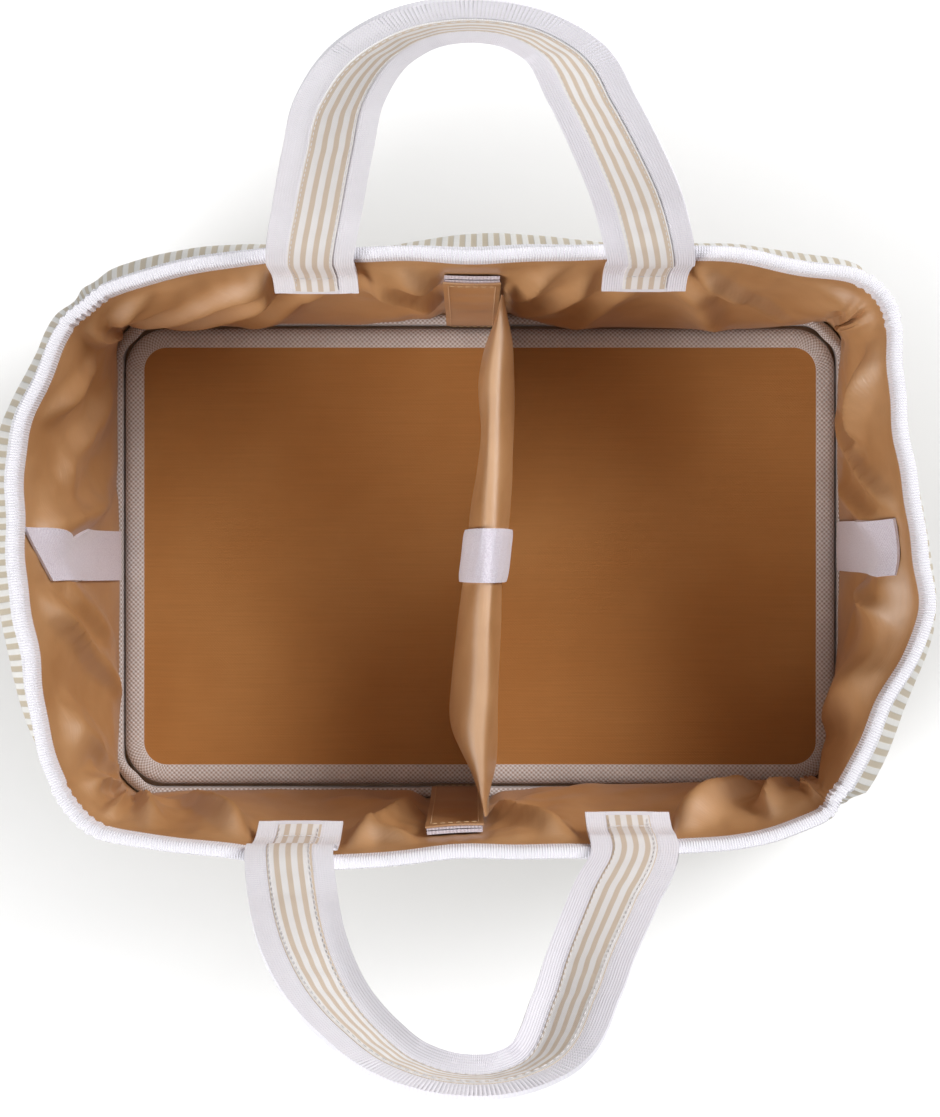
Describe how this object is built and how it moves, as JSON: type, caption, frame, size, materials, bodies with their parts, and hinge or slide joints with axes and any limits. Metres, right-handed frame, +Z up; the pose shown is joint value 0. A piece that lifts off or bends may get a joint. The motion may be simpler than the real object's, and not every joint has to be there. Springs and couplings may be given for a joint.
{
  "type": "diaper caddy",
  "caption": "Soft fabric diaper caddy with a striped outside, satin lining, two webbing handles, a loose base insert and a padded divider on hook-and-loop tabs.",
  "frame": {"origin": "middle of the base's underside", "axes": "+X along the bag's length, +Y towards the back handle, +Z up"},
  "size_m": [0.4115, 0.3981, 0.3319],
  "materials": {
    "striped_cloth": "matte",
    "foam_sheet": "matte",
    "satin": "satin",
    "white_webbing": "matte",
    "hook_and_loop": "matte",
    "striped_ribbon": "matte",
    "insert_cloth": "matte",
    "insert_tape": "matte",
    "chipboard": "matte"
  },
  "bodies": {
    "bag": {"outer_right_panel": "striped_cloth", "foam_right": "foam_sheet", "lining_right": "satin", "outer_back_panel": "striped_cloth", "foam_back": "foam_sheet", "lining_back": "satin", "outer_left_panel": "striped_cloth", "foam_left": "foam_sheet", "lining_left": "satin", "outer_front_panel": "striped_cloth", "foam_front": "foam_sheet", "lining_front": "satin", "outer_base_panel": "striped_cloth", "lining_base": "satin", "rim_binding": "white_webbing", "base_seam_binding": "insert_tape", "loop_strip_right": "hook_and_loop", "loop_strip_left": "hook_and_loop", "loop_strip_back": "hook_and_loop", "loop_strip_front": "hook_and_loop", "handle_back_left_anchor": "white_webbing", "handle_back_right_anchor": "white_webbing", "handle_front_left_anchor": "white_webbing", "handle_front_right_anchor": "white_webbing"},
    "handle_back": {"handle_back_webbing": "white_webbing", "handle_back_ribbon": "striped_ribbon"},
    "handle_front": {"handle_front_webbing": "white_webbing", "handle_front_ribbon": "striped_ribbon"},
    "base_insert": {"insert_under_cloth": "insert_cloth", "insert_board": "chipboard", "insert_pad": "foam_sheet", "insert_top_cloth": "insert_cloth", "insert_binding": "insert_tape"},
    "divider": {"divider_cover": "satin", "divider_foam": "foam_sheet", "divider_loop_strap": "hook_and_loop"},
    "tab_back": {"tab_back_flap": "satin", "tab_back_hook_strip": "hook_and_loop"},
    "tab_front": {"tab_front_flap": "satin", "tab_front_hook_strip": "hook_and_loop"}
  },
  "joints": [
    {"name": "handle_back_swing", "type": "hinge", "parent": "bag", "child": "handle_back", "pos_m": [0, 0.12681, 0.1784], "axis": [1, 0, 0], "range_deg": [-60, 65]},
    {"name": "handle_front_swing", "type": "hinge", "parent": "bag", "child": "handle_front", "pos_m": [-0.01, -0.12629, 0.1784], "axis": [-1, 0, 0], "range_deg": [-60, 65]},
    {"name": "base_insert_lift", "type": "slide", "parent": "bag", "child": "base_insert", "axis": [0, 0, 1], "range_m": [0, 0.35]},
    {"name": "divider_lift", "type": "slide", "parent": "base_insert", "child": "divider", "axis": [0, 0, 1], "range_m": [0, 0.35]},
    {"name": "tab_back_peel", "type": "hinge", "parent": "divider", "child": "tab_back", "pos_m": [0.0087, 0.1205, 0.077], "axis": [0, 0, 1], "range_deg": [0, 55]},
    {"name": "tab_front_peel", "type": "hinge", "parent": "divider", "child": "tab_front", "pos_m": [0.0012, -0.1205, 0.077], "axis": [0, 0, -1], "range_deg": [0, 55]}
  ]
}
